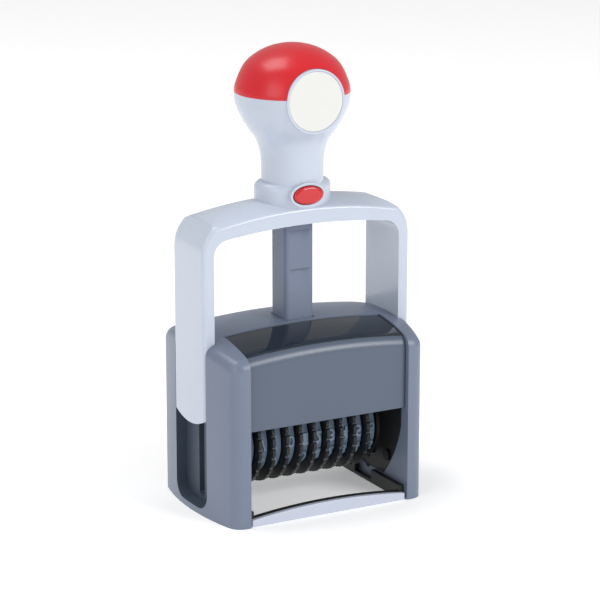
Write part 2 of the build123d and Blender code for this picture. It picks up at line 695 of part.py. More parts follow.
def loop_station(s, grow):
    """Place and outward angle on the band line at distance s from the top, right side."""
    (_, cz, drum), _, (ny, nz, nose) = loop_rings(grow)
    gap = hypot(ny, nz - cz)
    tilt = atan2(nz - cz, ny) - acos((drum - nose) / gap)
    spans = [ny, nose * (pi / 2 - tilt), sqrt(gap**2 - (drum - nose) ** 2)]
    if s < spans[0]:
        return s, nz + nose, pi / 2
    s -= spans[0]
    if s < spans[1]:
        angle = pi / 2 - s / nose
        return ny + nose * cos(angle), nz + nose * sin(angle), angle
    s -= spans[1]
    if s < spans[2]:
        y, z = ny + nose * cos(tilt), nz + nose * sin(tilt)
        return y + s * sin(tilt), z - s * cos(tilt), tilt
    angle = tilt - (s - spans[2]) / drum
    return drum * cos(angle), cz + drum * sin(angle), angle


def half_loop(grow):
    """Half the length of the band line."""
    (_, cz, drum), _, (ny, nz, nose) = loop_rings(grow)
    gap = hypot(ny, nz - cz)
    tilt = atan2(nz - cz, ny) - acos((drum - nose) / gap)
    return ny + nose * (pi / 2 - tilt) + sqrt(gap**2 - (drum - nose) ** 2) + drum * (tilt + pi / 2)


def number_band():
    """One rubber band with raised characters as plain pads, its left edge at x = 0."""
    band = extrude(Plane.YZ * hull_face(loop_rings(BAND_T)), BAND_W)
    band -= Pos(-1, 0, 0) * extrude(Plane.YZ * hull_face(loop_rings(0)), BAND_W + 2)
    pitch = 2 * half_loop(BAND_T) / BAND_MARKS
    pad_l, pad_w = 0.66 * pitch, BAND_W - 0.6
    for i in range(BAND_MARKS // 2 + 1):
        for side in (1,) if i in (0, BAND_MARKS // 2) else (-1, 1):
            y, z, angle = loop_station(i * pitch, BAND_T)
            place = Pos(BAND_W / 2, side * y, z) * Rot(degrees(angle) * side - 90 * side, 0, 0)
            band += place * Box(pad_w, pad_l, 2 * RELIEF)
    return band - Pos(-1, 0, 0) * extrude(Plane.YZ * hull_face(loop_rings(0)), BAND_W + 2)


def number_wheel():
    """One setting wheel: gripped disc on the left, drum for its band on the right."""
    disc = extrude(Plane.YZ * Circle(DISC_R), DISC_T)
    for i in range(GRIPS):
        angle = 2 * pi * i / GRIPS
        disc -= rod_x(DISC_R * cos(angle), DISC_R * sin(angle), GRIP_R, -1, DISC_T + 1)
    wheel = disc + rod_x(0, 0, DRUM_R, DISC_T, DISC_T + DRUM_W)
    return wheel - rod_x(0, 0, SHAFT_R + RUN, -1, DISC_T + DRUM_W + 1)


def end_plate():
    """Right-hand plate of the carrier that holds nose bar, shaft and spacers."""
    rings = [(0, SHAFT_Z, PLATE_LOW_R), (0, PIVOT_Z + PLATE_TOP_Z, PLATE_TOP_R)]
    plate = Pos(PLATE_X, 0, 0) * extrude(Plane.YZ * hull_face(rings), PLATE_T)
    x0, x1 = PLATE_X - 1, PLATE_X + PLATE_T + 1
    plate -= rod_x(0, PIVOT_Z, PIVOT_R + RUN, x0, x1)
    plate -= rod_x(0, SHAFT_Z, SHAFT_R + FIT, x0, x1)
    plate -= rod_x(0, PIVOT_Z + NOSE_SCREW_Z, SCREW_R + FIT, x0, x1)
    y, z = cam_point(0)
    return plate - rod_x(y, z, CAM_PIN_R + FIT, x0, x1)


def nose_bar():
    """Bar that presses the bands on the paper, between the end plates."""
    (_, _, _), low, high = loop_rings(-0.2)
    foot_z = PIVOT_Z + NOSE_FOOT_Z
    rings = [low, high, (-NOSE_CORNER_Y - 0.6, foot_z + 0.6, 0.6)]
    rings.append((NOSE_CORNER_Y + 0.6, foot_z + 0.6, 0.6))
    length = 2 * (PLATE_X - FIT)
    bar = Pos(-length / 2, 0, 0) * extrude(Plane.YZ * hull_face(rings), length)
    for side in (-1, 1):
        x0, x1 = sorted((side * PLATE_X, side * (PLATE_X - 6)))
        bar -= rod_x(0, PIVOT_Z + NOSE_SCREW_Z, SCREW_R + FIT, x0 - 0.01, x1 + 0.01)
    return bar


def nose_screws():
    """Screws that hold the end plates on the nose bar."""
    x, z = PLATE_X + PLATE_T, PIVOT_Z + NOSE_SCREW_Z
    head = rod_x(0, z, SCREW_HEAD_R, x, x + SCREW_HEAD_T)
    return two_sided(head + rod_x(0, z, SCREW_R, PLATE_X - 5, x))


def wheel_shaft():
    """Shaft that the ten number wheels turn on."""
    reach = PLATE_X + PLATE_T + NUT_T
    return rod_x(0, SHAFT_Z, SHAFT_R, -reach, reach)


def shaft_nuts():
    """Thin nuts on the ends of the wheel shaft."""
    x = PLATE_X + PLATE_T
    nut = Pos(x, 0, SHAFT_Z) * extrude(Plane.YZ * RegularPolygon(NUT_R, 6), NUT_T)
    return two_sided(nut - rod_x(0, SHAFT_Z, SHAFT_R + FIT, x - 1, x + NUT_T + 1))


def cam_pins():
    """Pins on the end plates that run in the cam grooves."""
    y, z = cam_point(0)
    return two_sided(rod_x(y, z, CAM_PIN_R, PLATE_X, CAM_X + CAM_GROOVE - 0.2))


# ---------------------------------------------------------------- ink pad
def pad_tray():
    """Tray that carries the ink pad face down and slides out to the rear."""
    w, wall = TRAY_HALF_W, TRAY_WALL
    tray = block(-w, w, -TRAY_FRONT_Y, COVER_Y, TRAY_Z, TRAY_TOP_Z)
    inner = PAD_HALF_W + 0.1
    tray -= block(-inner, inner, -PAD_HALF_D - 0.1, PAD_HALF_D + 0.1, 0, TRAY_TOP_Z - wall)
    pull_z0 = TRAY_Z + 1
    pull = block(-PULL_HALF_W, PULL_HALF_W, COVER_Y, COVER_Y + PULL_OUT, pull_z0, TRAY_TOP_Z - 1)
    return tray + fillet(pull.edges().filter_by(Axis.Y), 1.5)


def pad_felt():
    """Ink-soaked felt pad."""
    w, d = PAD_HALF_W, PAD_HALF_D
    return block(-w, w, -d, d, PAD_Z, TRAY_TOP_Z - TRAY_WALL)


# ---------------------------------------------------------------- write the parts
os.makedirs("parts", exist_ok=True)

save("outer_casing", outer_casing())
front_cover, index_window = front_covers()
save("front_cover", front_cover)
save("index_window", index_window)
save("rear_cover", rear_cover())
save("index_card", index_card())
save("base_frame", base_frame())
save("front_lip", lip(-1))
save("rear_lip", lip(1))
save("base_screws", *base_screws())
right_cam = cam_plate()
save("cam_plate_right", right_cam)
save("cam_plate_left", mirror(right_cam, Plane.YZ))
right_screws = cam_screws()
save("cam_plate_screws", *right_screws, *[mirror(s, Plane.YZ) for s in right_screws])
save("guide_post", post())
save("post_screws", *post_screws())
save("return_spring", return_spring())
save("pad_tray", pad_tray())
save("ink_pad", pad_felt())
save("yoke", yoke())
save("knob_shell", knob_shell())
save("knob_cap", knob_cap())
save("front_label_disc", label_disc(-1))
save("rear_label_disc", label_disc(1))
save("pivot_pins", *pivot_pins())
save("guide_rod", guide_rod())
save("rod_nut", rod_nut())
save("lock_button", lock_button())
right_plate = end_plate()
save("carrier_plate_right", right_plate)
save("carrier_plate_left", mirror(right_plate, Plane.YZ))
save("nose_bar", nose_bar())
save("nose_screws", *nose_screws())
save("wheel_shaft", wheel_shaft())
save("shaft_nuts", *shaft_nuts())
save("cam_pins", *cam_pins())
one_wheel = number_wheel()
one_band = number_band()
wheel_length = DISC_T + DRUM_W
for i in range(BANDS):
    left_x = (i - (BANDS - 1) / 2) * BAND_PITCH - wheel_length / 2
    save(f"number_wheel_{i + 1:02d}", Pos(left_x, 0, SHAFT_Z) * one_wheel)
    band_x = left_x + DISC_T + (DRUM_W - BAND_W) / 2
    save(f"number_band_{i + 1:02d}", Pos(band_x, 0, 0) * one_band)
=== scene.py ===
"""Looks of a self-inking numbering machine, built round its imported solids.

The machine is an upright hand stamp. A grey ABS casing carries a hollow guide post, a pale
bow handle slides in its sides, and ten rubber number bands hang between black wheels.
"""

from __future__ import annotations

import json
import logging
import math
from dataclasses import dataclass

import bmesh
import bpy
from mathutils import Matrix, Vector

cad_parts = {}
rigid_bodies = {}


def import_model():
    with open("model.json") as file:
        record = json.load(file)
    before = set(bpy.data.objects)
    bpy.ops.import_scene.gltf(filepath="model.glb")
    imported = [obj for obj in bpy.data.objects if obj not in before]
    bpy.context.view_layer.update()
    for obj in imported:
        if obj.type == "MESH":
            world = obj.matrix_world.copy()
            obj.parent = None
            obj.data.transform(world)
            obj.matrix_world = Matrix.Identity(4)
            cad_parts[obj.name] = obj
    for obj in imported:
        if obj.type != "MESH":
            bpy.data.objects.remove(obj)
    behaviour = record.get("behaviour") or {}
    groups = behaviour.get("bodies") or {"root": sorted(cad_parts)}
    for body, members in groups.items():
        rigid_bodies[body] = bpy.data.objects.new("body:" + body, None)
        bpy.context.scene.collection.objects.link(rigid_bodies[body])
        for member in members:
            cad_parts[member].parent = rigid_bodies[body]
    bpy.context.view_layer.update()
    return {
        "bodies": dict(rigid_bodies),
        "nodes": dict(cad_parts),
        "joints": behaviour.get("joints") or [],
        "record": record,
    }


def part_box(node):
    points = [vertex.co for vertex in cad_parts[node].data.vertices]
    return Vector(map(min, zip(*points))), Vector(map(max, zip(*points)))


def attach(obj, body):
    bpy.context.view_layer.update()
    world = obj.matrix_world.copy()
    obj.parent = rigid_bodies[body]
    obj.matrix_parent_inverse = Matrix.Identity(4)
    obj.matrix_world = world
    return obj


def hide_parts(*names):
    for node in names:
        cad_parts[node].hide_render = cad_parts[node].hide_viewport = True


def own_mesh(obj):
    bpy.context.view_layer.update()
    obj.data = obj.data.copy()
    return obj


log = logging.getLogger("numbering_machine")

MM = 0.001


# ---------------------------------------------------------------- colour and node helpers
def linear(hex_colour: str) -> tuple[float, float, float, float]:
    """Turn an sRGB hex colour into linear RGBA.

    Args:
        hex_colour: colour such as "7b8698".

    Returns:
        The linear colour with full alpha.
    """
    channels = [int(hex_colour[i : i + 2], 16) / 255 for i in (0, 2, 4)]
    values = [c / 12.92 if c <= 0.04045 else ((c + 0.055) / 1.055) ** 2.4 for c in channels]
    return (values[0], values[1], values[2], 1.0)


def add_node(
    tree: bpy.types.NodeTree,
    kind: str,
    inputs: dict[str | int, object] | None = None,
    **settings: object,
) -> bpy.types.Node:
    """Add one node, set its properties, and fill or link its inputs.

    Args:
        tree: node tree that takes the node.
        kind: node type, such as "ShaderNodeTexNoise".
        inputs: socket name or number to a value, or to an output socket to link from. None
            leaves the socket at its default.
        **settings: properties of the node itself.

    Returns:
        The new node.
    """
    node = tree.nodes.new(kind)
    for name, value in settings.items():
        setattr(node, name, value)
    for name, value in (inputs or {}).items():
        if isinstance(value, bpy.types.NodeSocket):
            tree.links.new(value, node.inputs[name])
        elif value is not None:
            node.inputs[name].default_value = value
    return node


# ---------------------------------------------------------------- finishes
@dataclass(frozen=True)
class Moulding:
    """An injection-moulded plastic, or another plain finish with a fine surface grain."""

    name: str
    colour: str
    drift: str  # colour that the plastic drifts to in broad, faint patches
    roughness: float = 0.4
    roughness_swing: float = 0.06
    ior: float = 1.53  # ABS
    coat: float = 0.0
    grain_mm: float = 0.35
    grain: float = 0.02  # strength of the surface grain
    drift_mm: float = 18.0
    metallic: float = 0.0
    sheen: float = 0.0
    transmission: float = 0.0
    glow: float = 0.0  # strength of a white glow of its own

    def material(self) -> bpy.types.Material:
        """Build the node material once and hand out the same one after that."""
        found = bpy.data.materials.get(self.name)
        return found if found else self._build()

    def _build(self) -> bpy.types.Material:
        """Principled shader with broad colour drift and a fine grain in gloss and bump."""
        material = bpy.data.materials.new(self.name)
        material.use_nodes = True
        tree = material.node_tree
        tree.nodes.clear()
        where = add_node(tree, "ShaderNodeTexCoord").outputs["Object"]
        broad = add_node(
            tree,
            "ShaderNodeTexNoise",
            {"Vector": where, "Scale": 1 / (self.drift_mm * MM), "Detail": 2.0},
        )
        fine = add_node(
            tree,
            "ShaderNodeTexNoise",
            {"Vector": where, "Scale": 1 / (self.grain_mm * MM), "Detail": 3.0},
        )
        # sockets 6 and 7 are the colours: "A" and "B" would find the float pair first
        colour = add_node(
            tree,
            "ShaderNodeMix",
            {0: broad.outputs["Fac"], 6: linear(self.colour), 7: linear(self.drift)},
            data_type="RGBA",
        )
        gloss = add_node(
            tree,
            "ShaderNodeMapRange",
            {
                "Value": fine.outputs["Fac"],
                "To Min": max(self.roughness - self.roughness_swing, 0.02),
                "To Max": self.roughness + self.roughness_swing,
            },
        )
        bump = add_node(
            tree,
            "ShaderNodeBump",
            {"Height": fine.outputs["Fac"], "Strength": self.grain, "Distance": 0.1 * MM},
        )
        shader = add_node(
            tree,
            "ShaderNodeBsdfPrincipled",
            {
                "Base Color": colour.outputs[2],
                "Roughness": gloss.outputs["Result"],
                "Normal": bump.outputs["Normal"],
                "IOR": None if self.metallic else self.ior,
                "Metallic": self.metallic,
                "Coat Weight": self.coat,
                "Coat Roughness": 0.08,
                "Sheen Weight": self.sheen,
                "Transmission Weight": self.transmission,
                "Emission Color": (1, 1, 1, 1),
                "Emission Strength": self.glow,
            },
        )
        out = add_node(tree, "ShaderNodeOutputMaterial", {"Surface": shader.outputs["BSDF"]})
        out.is_active_output = True
        return material


# Satin ABS, moulded in a spark-eroded tool: soft highlights and a barely felt grain.
CASING_ABS = Moulding("casing_abs_satin", "707b8f", "6a7488", 0.36, grain=0.05)
# The same ABS in a deeper grey, from a smoother tool: the covers shine a little more.
COVER_ABS = Moulding("cover_abs_satin", "535e70", "4e596a", 0.32, grain=0.03)
# Side channels: painted shade, a darker grey on the floor that the legs slide on and on its walls;
# the duller gloss is the moulding's own.
CHANNEL_PAINTED_SHADE = Moulding("channel_painted_shade", "3f4b5b", "394553", 0.5, grain=0.05)
# Guide post: plain acetal, slightly waxy.
POST_ACETAL = Moulding("post_acetal", "747e94", "6c768b", 0.38, ior=1.48, grain=0.03)
# Polished ABS of the handle: pale, glossy, with wide soft reflections.
HANDLE_ABS = Moulding("handle_abs_polished", "c0c8d6", "bac3d2", 0.25, 0.03, coat=0.2, grain=0.01)
# Red polished ABS of the cap.
CAP_ABS = Moulding("cap_abs_red", "d01222", "c70e1e", 0.34, 0.03, coat=0.1, grain=0.01)
# Red button, polished harder than the cap.
BUTTON_ABS = Moulding("button_abs_red", "c9141b", "be1118", 0.2, 0.02, coat=0.3, grain=0.01)
# Blank label disc: white printed card under a matt film.
DISC_FILM = Moulding("label_disc_film", "dcdcd9", "d8d8d5", 0.42, 0.03, grain=0.02)
# Smoke-tinted polystyrene window: dark and mirror-smooth, so it shows the post in it.
WINDOW_CLEAR = Moulding(
    "window_polystyrene", "222c38", "1e2732", 0.04, 0.01, ior=1.45, grain=0.0, transmission=0.1
)
# Dark coated card under the window.
CARD_DARK = Moulding("index_card_coated", "1d242d", "232b35", 0.30, 0.05, grain=0.05)
# Pale trim strip, the same polished ABS as the handle.
TRIM_ABS = Moulding("trim_abs_polished", "c3c9d8", "bcc3d3", 0.28, 0.03, grain=0.01)
# Carbon-black nylon of frame, wheels and carrier: matt with dull highlights.
BLACK_NYLON = Moulding("black_nylon", "111315", "17191c", 0.42, 0.08, grain=0.06)
# Stamp rubber: dusty blue-grey, dull, slightly uneven.
BAND_RUBBER = Moulding("stamp_rubber", "8499b2", "74889f", 0.62, 0.08, grain=0.08)
# Black-oxide steel of the cam plate screws.
BLACK_STEEL = Moulding("black_oxide_steel", "2a2b2e", "232427", 0.35, 0.06, metallic=1.0)
# Zinc-plated steel of small screws and nuts.
ZINC_STEEL = Moulding("zinc_plated_steel", "b9bcc0", "a9acb0", 0.30, 0.06, metallic=1.0)
# Ground steel of shaft and rod.
GROUND_STEEL = Moulding("ground_steel", "c9cbce", "bfc1c5", 0.20, 0.05, metallic=1.0)
# Spring wire.
SPRING_STEEL = Moulding("spring_wire", "8e9196", "84878c", 0.28, 0.05, metallic=1.0)
# Ink-soaked felt: very dark, with a fuzzy edge to its shine.
INK_FELT = Moulding("ink_felt", "15161f", "0d0e14", 0.9, 0.05, grain=0.6, sheen=0.3)


# ---------------------------------------------------------------- mesh helpers
def merged_copy(node: bpy.types.Object, name: str) -> bpy.types.Object:
    """A welded copy of a solid's mesh as a new object.

    Args:
        node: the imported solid.
        name: name of the new piece.

    Returns:
        The new object, linked to the scene and at the origin.
    """
    work = bmesh.new()
    work.from_mesh(node.data)
    bmesh.ops.remove_doubles(work, verts=work.verts, dist=0.0005 * MM)
    bmesh.ops.dissolve_limit(
        work,
        angle_limit=math.radians(0.02),
        use_dissolve_boundaries=False,
        verts=work.verts,
        edges=work.edges,
        delimit={"NORMAL"},
    )
    bmesh.ops.triangulate(
        work, faces=[f for f in work.faces if len(f.verts) > 4], quad_method="BEAUTY"
    )
    mesh = bpy.data.meshes.new(name)
    work.to_mesh(mesh)
    work.free()
    piece = bpy.data.objects.new(name, mesh)
    bpy.context.scene.collection.objects.link(piece)
    return piece


def shade(piece: bpy.types.Object, angle_deg: float) -> None:
    """Shade smooth across edges flatter than an angle, sharp across the rest."""
    mesh = piece.data
    work = bmesh.new()
    work.from_mesh(mesh)
    for face in work.faces:
        face.smooth = True
    limit = math.radians(angle_deg)
    for edge in work.edges:
        edge.smooth = edge.calc_face_angle(0.0) < limit
    work.to_mesh(mesh)
    work.free()


def round_edges(piece: bpy.types.Object, width_mm: float, segments: int, angle_deg: float) -> None:
    """Round the sharp edges of a piece with a live Bevel modifier."""
    bevel = piece.modifiers.new("edge", "BEVEL")
    bevel.width = width_mm * MM
    bevel.segments = segments
    bevel.limit_method = "ANGLE"
    bevel.angle_limit = math.radians(angle_deg)
    bevel.harden_normals = True
    bevel.use_clamp_overlap = True


def set_finish(piece: bpy.types.Object, finish: Moulding) -> None:
    """Give every material slot of a piece one finish."""
    material = finish.material()
    if not piece.data.materials:
        piece.data.materials.append(material)
    for index in range(len(piece.material_slots)):
        piece.material_slots[index].material = material


class Part:
    """Base of the sub-assemblies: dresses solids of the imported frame."""

    def __init__(self, frame: dict) -> None:
        """Keep the frame, and the body that each node rides on."""
        self.nodes: dict[str, bpy.types.Object] = frame["nodes"]
        self.body_of: dict[str, str] = {
            node: body
            for body, members in frame["record"]["behaviour"]["bodies"].items()
            for node in members
        }
        self.slot_of: dict[str, str] = {
            entry["node"]: entry["material_slot"] for entry in frame["record"]["subparts"]
        }

    def dress(self, node: str, finish: Moulding) -> None:
        """Give a solid that stays as it is its finish."""
        set_finish(self.nodes[node], finish)
        log.info("%s keeps its solid, %s", node, finish.name)

    def rounded(
        self,
        node: str,
        finish: Moulding,
        width_mm: float = 0.25,
        segments: int = 2,
        angle_deg: float = 32.0,
    ) -> bpy.types.Object:
        """Replace a solid by a welded copy with rounded edges.

        Args:
            node: name of the solid.
            finish: its finish.
            width_mm: how far the rounding reaches from an edge.
            segments: faces across the rounding.
            angle_deg: edges sharper than this are rounded.

        Returns:
            The new piece.
        """
        piece = merged_copy(self.nodes[node], f"{node}_dressed")
        shade(piece, angle_deg)
        round_edges(piece, width_mm, segments, angle_deg)
        return self.stand_in(piece, node, finish)

    def stand_in(self, piece: bpy.types.Object, node: str, finish: Moulding) -> bpy.types.Object:
        """Let a piece take a solid's place and body, and give it a finish."""
        set_finish(piece, finish)
        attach(piece, self.body_of[node])
        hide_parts(node)
        log.info("%s stands for %s", piece.name, node)
        return piece


# ---------------------------------------------------------------- sub-assemblies
@dataclass
class Casing:
    """Cheeks and bridge, covers, index window and the pale foot strips."""

    frame: dict
    edge_mm: float = 0.3
    thin_edge_mm: float = 0.15
    channel_room_mm: float = 0.6  # how far a channel reaches past the legs
    wire_smooth_deg: float = 60.0

    def build(self) -> None:
        """Dress every moulding of the casing."""
        part = Part(self.frame)
        casing = part.rounded("outer_casing", CASING_ABS, self.edge_mm, 3)
        self._paint_channel_shade(casing)
        part.rounded("front_cover", COVER_ABS, self.edge_mm, 3)
        part.rounded("rear_cover", COVER_ABS, self.edge_mm, 3)
        part.rounded("index_window", WINDOW_CLEAR, self.thin_edge_mm)
        part.dress("index_card", CARD_DARK)
        part.rounded("base_frame", BLACK_NYLON, self.thin_edge_mm)
        for lip in ("front_lip", "rear_lip"):
            part.rounded(lip, TRIM_ABS, self.edge_mm, 3)
        part.dress("base_screws", ZINC_STEEL)
        for side in ("left", "right"):
            part.rounded(f"cam_plate_{side}", BLACK_NYLON, self.thin_edge_mm)
        part.dress("cam_plate_screws", BLACK_STEEL)
        part.rounded("guide_post", POST_ACETAL, self.thin_edge_mm)
        part.dress("post_screws", ZINC_STEEL)
        self._spring(part)

    def _spring(self, part: Part) -> None:
        """Return spring: a welded copy on the spring's body, with a mesh of its own."""
        node = "return_spring"
        spring = merged_copy(part.nodes[node], f"{node}_dressed")
        shade(spring, self.wire_smooth_deg)
        part.stand_in(spring, node, SPRING_STEEL)
        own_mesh(spring)

    def _paint_channel_shade(self, casing: bpy.types.Object) -> None:
        """Paint shade onto floor and walls of both side channels with a darker finish.

        They are the faces of the casing that lie beside the legs of the yoke.
        """
        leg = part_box("yoke")[1]
        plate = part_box("cam_plate_right")[1]
        # painted shade: the faces beside the legs get the darker channel grey
        casing.data.materials.append(CHANNEL_PAINTED_SHADE.material())
        room = self.channel_room_mm * MM
        for face in casing.data.polygons:
            x, y, z = face.center
            beside = plate.x + room < abs(x) < leg.x - room
            if beside and abs(y) < leg.y + room and z < plate.z:
                face.material_index = 1


@dataclass
class Handle:
    """Bow, knob, red cap, blank discs, lock button, pins and the hidden guide rod."""

    frame: dict
    edge_mm: float = 0.35
    crown_share: float = 0.72  # share of the cap's radius that the crown reaches

    def build(self) -> None:
        """Dress every piece that goes down with the hand."""
        part = Part(self.frame)
        part.rounded("yoke", HANDLE_ABS, self.edge_mm, 3)
        part.rounded("knob_shell", HANDLE_ABS, self.edge_mm, 3)
        cap = part.rounded("knob_cap", CAP_ABS, self.edge_mm / 2)
        self._smooth_crown(cap)
        for side in ("front", "rear"):
            part.rounded(f"{side}_label_disc", DISC_FILM, self.edge_mm)
        part.rounded("lock_button", BUTTON_ABS, self.edge_mm)
        part.dress("pivot_pins", BLACK_NYLON)
        part.dress("guide_rod", GROUND_STEEL)
        part.dress("rod_nut", ZINC_STEEL)

    def _smooth_crown(self, cap: bpy.types.Object) -> None:
        """Bring the top of the cap onto one clean ellipse, level with its highest point."""
        low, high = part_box("knob_cap")
        rise = high.z - low.z
        outer = [vert.index for vert in cap.data.vertices if vert.normal.z > 0]
        for index in outer:
            vert = cap.data.vertices[index]
            reach = math.hypot(vert.co.x, vert.co.y)
            if reach < self.crown_share * high.x:
                vert.co.z = low.z + rise * math.sqrt(1 - (reach / high.x) ** 2)


@dataclass
class NumberBand:
    """One endless rubber band with raised, mirrored characters."""

    node: str
    wheel: str
    first: int  # which character lies on the nose
    characters: str = "0123456789-./ "
    relief_mm: float = 0.8
    wall_mm: float = 1.2
    nose_half_mm: float = 2.0
    nose_radius_mm: float = 2.4
    glyph_share: float = 0.66  # height of a character in its share of the band
    glyph_width_mm: float = 2.7
    sink_mm: float = 0.25  # foot of a character inside the band
    ring_segments: int = 72
    smooth_deg: float = 35.0

    def build(self) -> bpy.types.Object:
        """Make the closed loop and its characters as one mesh."""
        low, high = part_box(self.node)
        wheel_low, wheel_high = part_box(self.wheel)
        relief, wall, nose = self.relief_mm * MM, self.wall_mm * MM, self.nose_radius_mm * MM
        shaft_z = (wheel_low.z + wheel_high.z) / 2
        drum = shaft_z - low.z - relief
        nose_z = high.z - relief - nose
        rings = [(0.0, shaft_z, drum)]
        rings += [(side * self.nose_half_mm * MM, nose_z, nose) for side in (-1, 1)]
        work = self._loop(rings, low.x, high.x)
        outline = self._outline(work, low.x)
        bmesh.ops.solidify(work, geom=work.faces[:], thickness=wall)
        self._characters(work, outline, (low.x + high.x) / 2)
        bmesh.ops.recalc_face_normals(work, faces=work.faces)
        mesh = bpy.data.meshes.new(f"{self.node}_rubber")
        work.to_mesh(mesh)
        work.free()
        piece = bpy.data.objects.new(mesh.name, mesh)
        bpy.context.scene.collection.objects.link(piece)
        shade(piece, self.smooth_deg)
        return piece

    def _loop(
        self, rings: list[tuple[float, float, float]], x0: float, x1: float
    ) -> bmesh.types.BMesh:
        """Stretch a skin round the drum and the two nose corners.

        Args:
            rings: circles as (y, z, radius).
            x0: left edge of the band.
            x1: right edge of the band.

        Returns:
            The skin, open at both sides.
        """
        work = bmesh.new()
        for y, z, radius in rings:
            for x in (x0, x1):
                place = Matrix.Translation((x, y, z)) @ Matrix.Rotation(math.pi / 2, 4, "Y")
                bmesh.ops.create_circle(
                    work, segments=self.ring_segments, radius=radius, matrix=place
                )
        found = bmesh.ops.convex_hull(work, input=work.verts[:], use_existing_faces=False)
        inner = [v for v in found["geom_interior"] if isinstance(v, bmesh.types.BMVert)]
        bmesh.ops.delete(work, geom=list(set(inner)), context="VERTS")
        ends = [f for f in work.faces if abs(f.normal.x) > 0.9]
        bmesh.ops.delete(work, geom=ends, context="FACES_ONLY")
        loose = [e for e in work.edges if not e.link_faces]
        bmesh.ops.delete(work, geom=loose, context="EDGES")
        bmesh.ops.recalc_face_normals(work, faces=work.faces)
        bmesh.ops.join_triangles(
            work,
            faces=work.faces,
            angle_face_threshold=0.05,
            angle_shape_threshold=3.1,
        )
        return work

    def _outline(self, work: bmesh.types.BMesh, x: float) -> list[Vector]:
        """Points of the skin's left edge in order, from the middle of the nose."""
        points = [v.co.copy() for v in work.verts if abs(v.co.x - x) < 0.1 * MM]
        middle = sum(points, Vector()) / len(points)
        points.sort(key=lambda p: math.atan2(p.y - middle.y, p.z - middle.z) % (2 * math.pi))
        top = Vector((x, 0.0, max(p.z for p in points)))
        return [top, *points, top]

    def _characters(
        self, work: bmesh.types.BMesh, outline: list[Vector], middle_x: float
    ) -> None:
        """Set the characters round the band, mirrored as on any stamp.

        Args:
            work: mesh that takes the characters.
            outline: points of the band's surface in order, from the middle of the nose.
            middle_x: middle of the band's width.
        """
        runs = [(b - a).length for a, b in zip(outline, outline[1:])]
        pitch = sum(runs) / len(self.characters)
        for place in range(len(self.characters)):
            character = self.characters[(place + self.first) % len(self.characters)]
            if character == " ":
                continue
            at, along = self._walk(outline, runs, place * pitch)
            outward = Vector((1, 0, 0)).cross(along).normalized()
            if outward.dot(at - Vector((at.x, 0, outline[0].z / 2))) < 0:
                outward.negate()
            self._stamp(work, character, Vector((middle_x, at.y, at.z)), along, outward, pitch)

    def _walk(
        self, outline: list[Vector], runs: list[float], reach: float
    ) -> tuple[Vector, Vector]:
        """Point and direction at a distance along the outline.

        Args:
            outline: points of the outline in order.
            runs: length of each piece between two points.
            reach: distance from the first point.

        Returns:
            The point, and the unit direction of the outline there.
        """
        for start, end, run in zip(outline, outline[1:], runs):
            if reach <= run:
                break
            reach -= run
        along = (end - start).normalized()
        return start + along * reach, along

    def _stamp(
        self,
        work: bmesh.types.BMesh,
        character: str,
        at: Vector,
        along: Vector,
        outward: Vector,
        pitch: float,
    ) -> None:
        """Raise one character from the band: its top points against the walk.

        Args:
            work: mesh that takes the character.
            character: the sign to raise.
            at: middle of its place on the band's surface.
            along: direction of the band there.
            outward: direction away from the band.
            pitch: the band's length for each character.
        """
        height = self.glyph_share * pitch
        sink, relief = self.sink_mm * MM, self.relief_mm * MM
        turn = Matrix((Vector((1, 0, 0)), -along, outward)).transposed().to_4x4()
        size = Matrix.Diagonal((self.glyph_width_mm * MM, height, sink + relief, 1.0))
        lift = Matrix.Translation(at - outward * sink)
        shape = glyph_mesh(character).copy()
        shape.transform(lift @ turn @ size)
        work.from_mesh(shape)
        bpy.data.meshes.remove(shape)


def glyph_mesh(character: str) -> bpy.types.Mesh:
    """A character as a closed slab, one unit wide, high and thick, made once.

    Args:
        character: the sign to make.

    Returns:
        Its mesh, centred on the origin in X and Y and standing on Z = 0.
    """
    name = f"glyph_{ord(character)}"
    found = bpy.data.meshes.get(name)
    if found:
        return found
    curve = bpy.data.curves.new(name, "FONT")
    curve.body = character
    curve.resolution_u = 4
    curve.extrude = 0.5
    curve.offset = 0.02
    text = bpy.data.objects.new(name, curve)
    bpy.context.scene.collection.objects.link(text)
    bpy.context.view_layer.update()
    graph = bpy.context.evaluated_depsgraph_get()
    mesh = bpy.data.meshes.new_from_object(text.evaluated_get(graph))
    mesh.name = name
    bpy.data.objects.remove(text)
    work = bmesh.new()
    work.from_mesh(mesh)
    bmesh.ops.remove_doubles(work, verts=work.verts, dist=1e-4)
    lows = [min(v.co[i] for v in work.verts) for i in range(3)]
    highs = [max(v.co[i] for v in work.verts) for i in range(3)]
    # figures fill the width; a dash, a point and a stroke keep their own shape
    full = character.isdigit()
    wide = highs[0] - lows[0] if full else 0.5
    tall = highs[1] - lows[1] if full else 0.72
    for vert in work.verts:
        vert.co.x = (vert.co.x - (lows[0] + highs[0]) / 2) / wide
        vert.co.y = (vert.co.y - ((lows[1] + highs[1]) / 2 if full else 0.36)) / tall
        vert.co.z = (vert.co.z - lows[2]) / (highs[2] - lows[2])
    work.to_mesh(mesh)
    work.free()
    return mesh


@dataclass
class PrintUnit:
    """Carrier, shaft, nose bar, wheels and number bands."""

    frame: dict
    bands: int = 10
    edge_mm: float = 0.12

    def build(self) -> None:
        """Dress the carrier and every wheel and band."""
        part = Part(self.frame)
        for side in ("left", "right"):
            part.rounded(f"carrier_plate_{side}", BLACK_NYLON, self.edge_mm)
        part.dress("nose_bar", BLACK_NYLON)
        part.dress("nose_screws", ZINC_STEEL)
        part.dress("wheel_shaft", GROUND_STEEL)
        part.dress("shaft_nuts", ZINC_STEEL)
        part.dress("cam_pins", GROUND_STEEL)
        for number in range(1, self.bands + 1):
            wheel = f"number_wheel_{number:02d}"
            part.rounded(wheel, BLACK_NYLON, self.edge_mm)
            band = NumberBand(f"number_band_{number:02d}", wheel, number)
            part.stand_in(band.build(), band.node, BAND_RUBBER)


